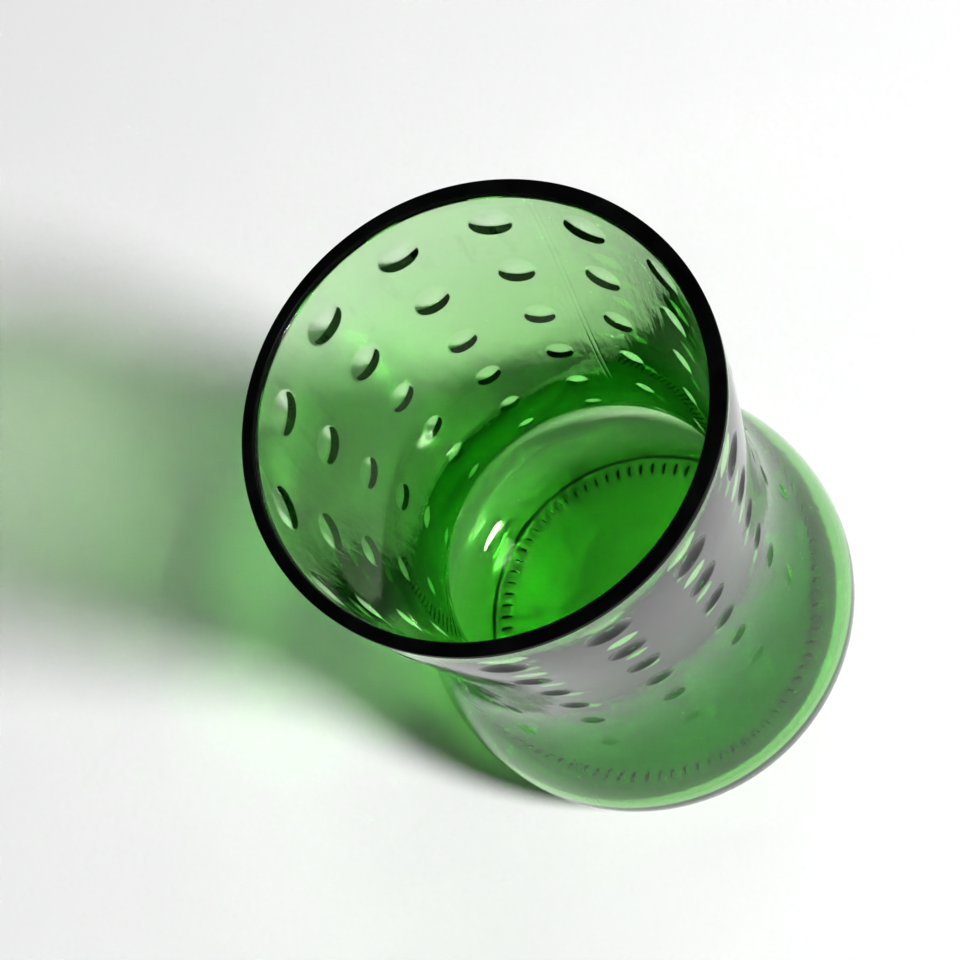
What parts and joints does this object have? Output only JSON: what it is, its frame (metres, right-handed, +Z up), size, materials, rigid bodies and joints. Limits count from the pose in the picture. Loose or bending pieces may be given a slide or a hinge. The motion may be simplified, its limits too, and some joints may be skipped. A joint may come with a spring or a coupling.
{
  "type": "glass bud vase",
  "caption": "Small waisted green glass vase with rows of round dimples pressed into the outside of its wall, a rounded heel, a push-up base and a thin black band on its rim.",
  "frame": {"origin": "centre of the base, on the plane that the bearing ring rests on", "axes": "+Z up along the vase's axis, out of the mouth; -Y is the front; the mould seams lie 40.8 degrees round from +X and opposite"},
  "size_m": [0.0824, 0.0824, 0.1205],
  "materials": {
    "green_glass": "clear mid-green bottle glass, glossy, slightly wavy",
    "black_band": "black fired band, satin to glossy, smooth rounded arrises"
  },
  "bodies": {
    "root": {"glass_vessel": "green_glass", "rim_band": "black_band"}
  },
  "joints": []
}
